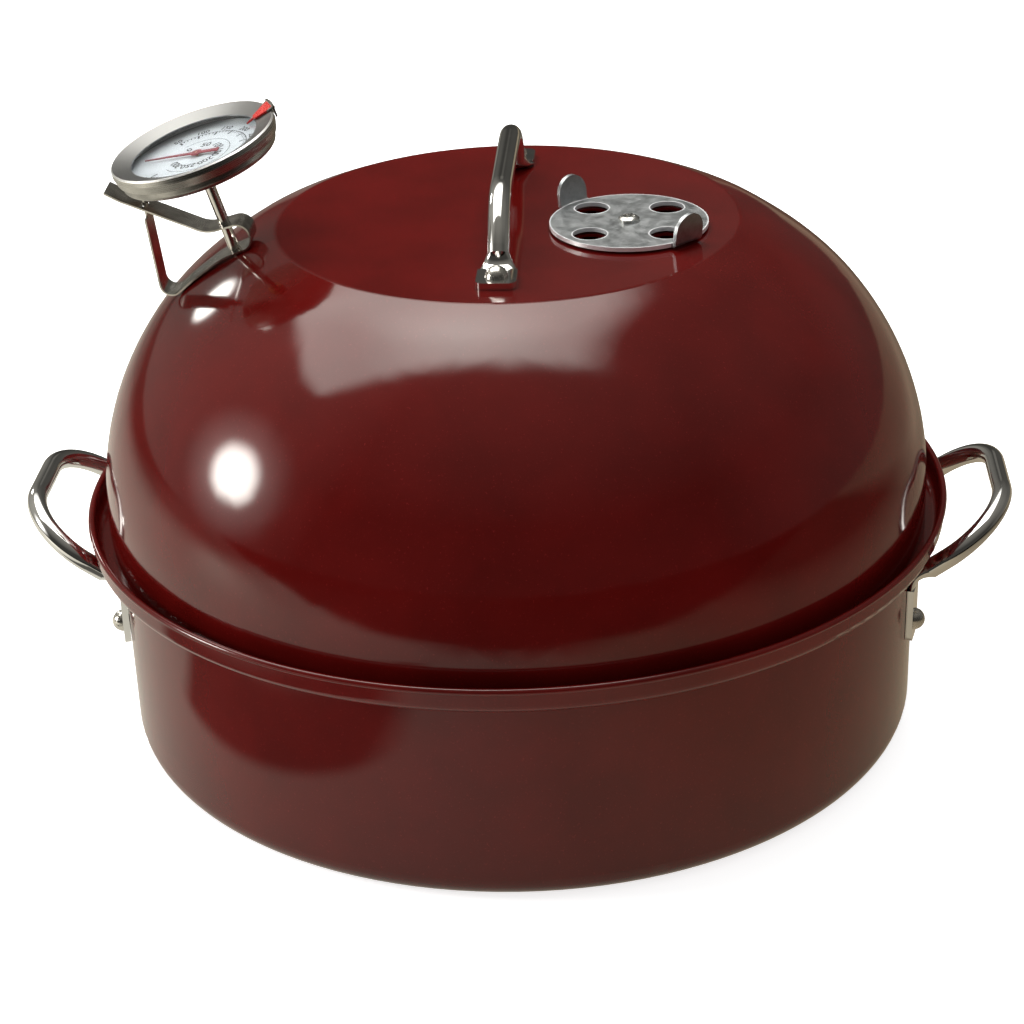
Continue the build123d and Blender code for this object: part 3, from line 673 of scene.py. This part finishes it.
class SMOKER_OT_dial(bpy.types.Operator):
    """Prints the scale on the dial"""

    bl_idname = "smoker.dial"
    bl_label = "Dial Scale"

    def execute(self, context):
        dial = context.scene.smoker_dial
        ink = painted("screen_printed_ink", "#16181a", "#22262a", 0.6)
        # The ink lies 0.04 mm over the plate
        height = heights_along("dial_plate", dial_frame)[1] + 0.04 * MM
        self.scale(dial, ink, height)
        self.numbers(dial, ink, height)
        return {"FINISHED"}

    def scale(self, dial, ink, height):
        """Ticks and two scale lines, each a flat quad or strip of quads laid round the dial."""
        step = np.arange(dial.steps + 1)
        angle = dial.first_angle + dial.sweep * step / dial.steps
        long = step % 5 == 0
        length = np.where(long, 3.2 * MM, 1.6 * MM)[:, None]
        half_width = np.where(long, 0.45 * MM, 0.22 * MM)[:, None]
        out = np.stack([np.cos(angle), np.sin(angle)], -1)
        side = np.stack([-np.sin(angle), np.cos(angle)], -1) * half_width
        rim = out * dial.scale_radius
        root = out * (dial.scale_radius - length)
        flat = np.stack([root - side, rim - side, rim + side, root + side], 1).reshape(-1, 2)
        faces = np.arange(len(flat)).reshape(-1, 4)
        points_round = 121
        turn = dial.first_angle + dial.sweep * np.linspace(0, 1, points_round)[:, None]
        for inset, width in ((0.0, 0.4 * MM), (7.5 * MM, 0.3 * MM)):
            radius = dial.scale_radius - inset
            edges = np.array([[radius - width / 2, radius + width / 2]])
            ring = np.stack([edges * np.cos(turn), edges * np.sin(turn)], -1).reshape(-1, 2)
            strip = grid_faces(points_round, 2, False, False)[:, ::-1]
            faces = np.concatenate([faces, strip + len(flat)])
            flat = np.concatenate([flat, ring])
        points = np.column_stack([flat, np.full(len(flat), height)])
        mesh_piece("dial_scale", moved(points, dial_frame), faces, ink, "thermometer")

    def numbers(self, dial, ink, height):
        """Two rings of plain numbers, each with its top towards the dial's edge."""
        outside, inside = dial.scale_radius + 2.6 * MM, dial.scale_radius - 12.5 * MM
        outer = [(str(50 + 50 * i), i / 10, outside, 4.2 * MM) for i in range(11)]
        inner = [(str(50 * i), i / 6, inside, 5.0 * MM) for i in range(7)]
        points, faces, count = [], [], 0
        for text, share, radius, size in outer + inner:
            angle = dial.first_angle + dial.sweep * (1 - share)
            spot = (radius * math.cos(angle), radius * math.sin(angle), height)
            turn = Matrix.Rotation(angle - math.pi / 2, 4, "Z")
            word, triangles = self.word(text, size)
            points.append(moved(word, dial_frame @ Matrix.Translation(spot) @ turn))
            faces.append(triangles + count)
            count += len(word)
        points, faces = np.concatenate(points), np.concatenate(faces)
        mesh_piece("dial_numbers", points, faces, ink, "thermometer")

    def word(self, text, size):
        """Points and triangles of a flat word in Blender's own plain font."""
        curve = bpy.data.curves.new("number", "FONT")
        curve.body = text
        curve.size = size
        # Strokes a fiftieth of the height heavier, as screen printing spreads them
        curve.offset = size * 0.02
        curve.align_x = "CENTER"
        curve.align_y = "CENTER"
        curve.resolution_u = 3
        holder = bpy.data.objects.new("number", curve)
        mesh = bpy.data.meshes.new_from_object(holder)
        bpy.data.objects.remove(holder)
        bpy.data.curves.remove(curve)
        points = mesh_points(mesh)
        corners = np.empty(len(mesh.loops), int)
        mesh.loops.foreach_get("vertex_index", corners)
        bpy.data.meshes.remove(mesh)
        return points, corners.reshape(-1, 3)


class SMOKER_OT_stage(bpy.types.Operator):
    """Sets the floor, the lamps, the world and the camera"""

    bl_idname = "smoker.stage"
    bl_label = "Studio"

    def execute(self, context):
        scene = context.scene
        self.floor()
        self.world(scene)
        self.lamps(scene)
        self.camera(scene)
        scene.view_settings.view_transform = "Standard"
        return {"FINISHED"}

    def floor(self):
        """White paper that keeps the object's shadow. Mirrors see the paper's lit side."""
        material, tree, place = new_material("seamless_white_paper")
        path = add_node(tree, "LightPath").outputs
        # Fibre clouds of about 60 mm
        cloud = add_node(tree, "TexNoise", (place, scale_for(60), 2))
        tones = linear("#f4f4f3"), linear("#f7f7f6")
        tone = add_node(tree, "Mix", (cloud, *tones), data_type="RGBA")
        paper = add_node(tree, "BsdfDiffuse", (tone,))
        rays = path["Is Camera Ray"], path["Is Transmission Ray"]
        seen = add_node(tree, "Math", rays, operation="ADD")
        # Where it is seen itself, a glow lifts the lit paper to white
        glow = add_node(tree, "Math", (seen, 0.75), operation="MULTIPLY")
        light = add_node(tree, "Emission", {"Strength": glow})
        white = add_node(tree, "AddShader", (paper, light))
        mirrored = self.lit_paper(tree, place)
        shader = add_node(tree, "MixShader", (path["Is Glossy Ray"], white, mirrored))
        add_node(tree, "OutputMaterial", (shader,))
        reach, level = 4.0, -0.3 * MM
        ways = ((-1, -1), (1, -1), (1, 1), (-1, 1))
        stage_sheet("floor", [(reach * x, reach * y, level) for x, y in ways], material)

    def lit_paper(self, tree, place):
        """Paper as a mirror sees it.
        Its light is a slope along x with a pool beside the round lamp, dimmed to the sides and the
        back, plus a patch at the far right. It ends at the table's edge, which runs slightly askew,
        and a painted shadow, a dark band, crosses it at the left front."""
        axes = add_node(tree, "SeparateXYZ", (place,)).outputs
        x, y = axes["X"], axes["Y"]
        slope = add_node(tree, "MapRange", (x, -0.35, 0.05, 0.9, 0.48))
        pool = shaded(
            tree,
            0.8,
            (away(tree, x, -0.75), 0.0, 0.5, 1.0, 0.0),
            (away(tree, y, -0.24), 0.0, 0.2, 1.0, 0.0),
            interpolation="SMOOTHSTEP",
        )
        level = shaded(
            tree,
            add_node(tree, "Math", (slope, pool), operation="ADD"),
            (x, 0.1, 0.35, 1.0, 0.6),
            (x, 0.4, 0.7, 1.0, 0.2),
            (x, -1.4, -0.8, 0.3, 1.0),
            (y, 0.15, 0.9, 1.0, 0.25),
        )
        patch = shaded(tree, 0.28, (x, 0.3, 0.45), (y, 0.2, 0.4))
        askew = add_node(tree, "MapRange", (x, -1.0, 0.0, 0.17, 0.0))
        edge = add_node(tree, "Math", (y, askew), operation="ADD")
        # Painted shadow: a diagonal dark band across the mirrored paper at the left front, down to
        # 0.15 of its light
        across = add_node(tree, "VectorMath", (place, (-0.817, -0.577, 0)), operation="DOT_PRODUCT")
        painted_shadow_band = shaded(
            tree,
            1.0,
            (across, 0.237, 0.247),
            (across, 0.31, 0.345, 1.0, 0.0),
            (y, -0.09, -0.07, 1.0, 0.0),
            (x, -0.13, -0.095, 1.0, 0.0),
        )
        level = add_node(tree, "Math", (level, patch), operation="ADD")
        level = shaded(tree, level, (edge, -0.49, -0.42, 0.03, 1.0), (painted_shadow_band, 0.0, 1.0, 1.0, 0.15))
        warm = add_node(tree, "MapRange", (x, -0.05, 0.2))
        tone = add_node(tree, "Mix", (warm, linear("#fff9e7"), linear("#ffebc8")), data_type="RGBA")
        return add_node(tree, "Emission", (tone, level))

    def world(self, scene):
        """White behind the object, a low even fill for its colours, and a dim room for mirrors."""
        world = bpy.data.worlds.new("studio")
        scene.world = world
        world.use_nodes = True
        tree = world.node_tree
        tree.nodes.clear()
        path = add_node(tree, "LightPath").outputs
        way = add_node(tree, "TexCoord").outputs["Generated"]
        # Each glow's direction, the cosine at which it starts, and its strength at the middle
        room = 0.05
        for goal, start, strength in (
            ((0, 0, 1), 0.4, 0.2),
            ((-0.88, 0.34, 0.33), 0.55, 0.34),
            ((0.95, 0.25, 0.17), 0.7, 0.09),
            ((0.45, 0.84, 0.3), 0.9, 0.03),
            ((0.02, 0.91, 0.41), 0.99, 0.14),
        ):
            cosine = add_node(tree, "VectorMath", (way, goal), operation="DOT_PRODUCT")
            glow = add_node(tree, "MapRange", (cosine, start, 1.0, 0.0, strength))
            room = add_node(tree, "Math", (room, glow), operation="ADD")
        dim = add_node(tree, "Background", (linear("#fffaed"), room))
        rays = path["Is Camera Ray"], path["Is Transmission Ray"]
        seen = add_node(tree, "Math", rays, operation="ADD")
        # 0.43 is the even fill on the object, and 1 is white
        fill = add_node(tree, "MapRange", (seen, 0.0, 1.0, 0.43, 1.0))
        white = add_node(tree, "Background", (linear("#ffffff"), fill))
        both = add_node(tree, "MixShader", (path["Is Glossy Ray"], white, dim))
        add_node(tree, "OutputWorld", (both,))

    def lamps(self, scene):
        """A large panel overhead and behind, and a round lamp at the left.
        Cards stand for them in mirrors, and for a small window at the back left."""
        for name, shape, place, target, width, depth, watts in (
            ("overhead_panel", "RECTANGLE", (-0.29, 0.45, 1.25), (-0.29, 0.45, 0), 1.42, 1.3, 23.5),
            ("round_lamp", "DISK", (-1.27, -0.25, 0.5), (-0.11, -0.13, 0.18), 0.4, 0.4, 7),
        ):
            light = bpy.data.lights.new(name, "AREA")
            light.shape = shape
            light.size = width
            light.size_y = depth
            light.energy = watts
            lamp = bpy.data.objects.new(name, light)
            lamp.location = place
            lamp.rotation_euler = facing(place, target).to_euler()
            lamp.visible_glossy = False
            lamp.visible_camera = False
            scene.collection.objects.link(lamp)
        for name, place, target, half_width, half_height, light in (
            ("panel_face", (-0.29, 0.55, 1.25), (-0.29, 0.55, 0), 0.78, 0.8, self.panel_light),
            ("round_face", (-1.27, -0.28, 0.5), (-0.11, -0.13, 0.18), 0.5, 0.5, self.round_light),
            ("small_face", (-0.86, 0.82, 0.56), (-0.12, -0.06, 0.22), 0.14, 0.14, self.small_light),
        ):
            self.card(name, place, target, half_width, half_height, light)

    def panel_light(self, tree, place):
        """Even cloth with soft edges, and a brighter patch in front of its bulb."""
        axes = add_node(tree, "SeparateXYZ", (place,)).outputs
        x, y = axes["X"], axes["Y"]
        patch = shaded(
            tree,
            3.6,
            (away(tree, x, 0.12), 0.0, 0.5, 1.0, 0.0),
            (away(tree, y, -0.45), 0.0, 0.6, 1.0, 0.0),
            interpolation="SMOOTHSTEP",
        )
        cloth = shaded(
            tree,
            add_node(tree, "Math", (patch, 3.9), operation="ADD"),
            (x, -0.74, -0.62),
            (x, 0.5, 0.74, 1.0, 0.0),
            (y, -0.8, -0.68),
            interpolation="SMOOTHSTEP",
        )
        return shaded(tree, cloth, (y, 0.1, 0.7, 1.0, 0.0))

    def round_light(self, tree, place):
        """Bright core and a wide soft halo, by distance from the middle."""
        radius = add_node(tree, "VectorMath", (place,), operation="LENGTH")
        core = shaded(tree, 24.0, (radius, 0.11, 0.24, 1.0, 0.0), interpolation="SMOOTHSTEP")
        halo = shaded(tree, 1.8, (radius, 0.1, 0.5, 1.0, 0.0), interpolation="SMOOTHSTEP")
        return add_node(tree, "Math", (core, halo), operation="ADD")

    def small_light(self, tree, place):
        """Small bright window with a soft edge."""
        radius = add_node(tree, "VectorMath", (place,), operation="LENGTH")
        return shaded(tree, 14.0, (radius, 0.06, 0.11, 1.0, 0.0), interpolation="SMOOTHSTEP")

    def card(self, name, place, target, half_width, half_height, light):
        """Flat card that only mirrors see, with its light worked out over its face."""
        material, tree, spot = new_material(name)
        glow = add_node(tree, "Emission", (linear("#fffdf6"), light(tree, spot)))
        shader = add_node(tree, "AddShader", (glow, add_node(tree, "BsdfTransparent")))
        add_node(tree, "OutputMaterial", (shader,))
        w, h = half_width, half_height
        matrix = Matrix.Translation(place) @ facing(place, target).to_matrix().to_4x4()
        card = stage_sheet(name, [(-w, h, 0), (w, h, 0), (w, -h, 0), (-w, -h, 0)], material, matrix)
        for ray in ("camera", "diffuse", "transmission", "volume_scatter", "shadow"):
            setattr(card, f"visible_{ray}", False)

    def camera(self, scene):
        """The photograph's view: a long lens above the lid, turned a little on its sight line."""
        stage = scene.smoker_stage
        data = bpy.data.cameras.new("camera")
        data.lens = stage.lens
        data.sensor_width = 36
        data.clip_start = 0.05
        camera = bpy.data.objects.new("camera", data)
        turn = facing(stage.eye, stage.sight).to_matrix() @ Matrix.Rotation(stage.roll, 3, "Z")
        camera.matrix_world = Matrix.Translation(stage.eye) @ turn.to_4x4()
        scene.collection.objects.link(camera)
        scene.camera = camera


OPERATORS = (
    SMOKER_OT_enamel,
    SMOKER_OT_bars,
    SMOKER_OT_vent,
    SMOKER_OT_thermometer,
    SMOKER_OT_dial,
    SMOKER_OT_stage,
)
SETTINGS = {"smoker_finish": SmokerFinish, "smoker_dial": SmokerDial, "smoker_stage": SmokerStage}


class SMOKER_PT_panel(bpy.types.Panel):
    """Lists the smoker's operators in the sidebar"""

    bl_idname = "SMOKER_PT_panel"
    bl_label = "Stovetop Smoker"
    bl_space_type = "VIEW_3D"
    bl_region_type = "UI"
    bl_category = "Smoker"

    def draw(self, context):
        for operator in OPERATORS:
            self.layout.operator(operator.bl_idname)
        for name, group in SETTINGS.items():
            settings = getattr(context.scene, name)
            for field in group.__annotations__:
                self.layout.prop(settings, field)


def register():
    for group in SETTINGS.values():
        bpy.utils.register_class(group)
    for name, group in SETTINGS.items():
        setattr(bpy.types.Scene, name, bpy.props.PointerProperty(type=group))
    for operator in OPERATORS:
        bpy.utils.register_class(operator)
    bpy.utils.register_class(SMOKER_PT_panel)


def unregister():
    bpy.utils.unregister_class(SMOKER_PT_panel)
    for operator in reversed(OPERATORS):
        bpy.utils.unregister_class(operator)
    for name, group in SETTINGS.items():
        delattr(bpy.types.Scene, name)
        bpy.utils.unregister_class(group)


def main():
    register()
    for operator in OPERATORS:
        group, name = operator.bl_idname.split(".")
        getattr(getattr(bpy.ops, group), name)()


if __name__ == "__main__":
    main()
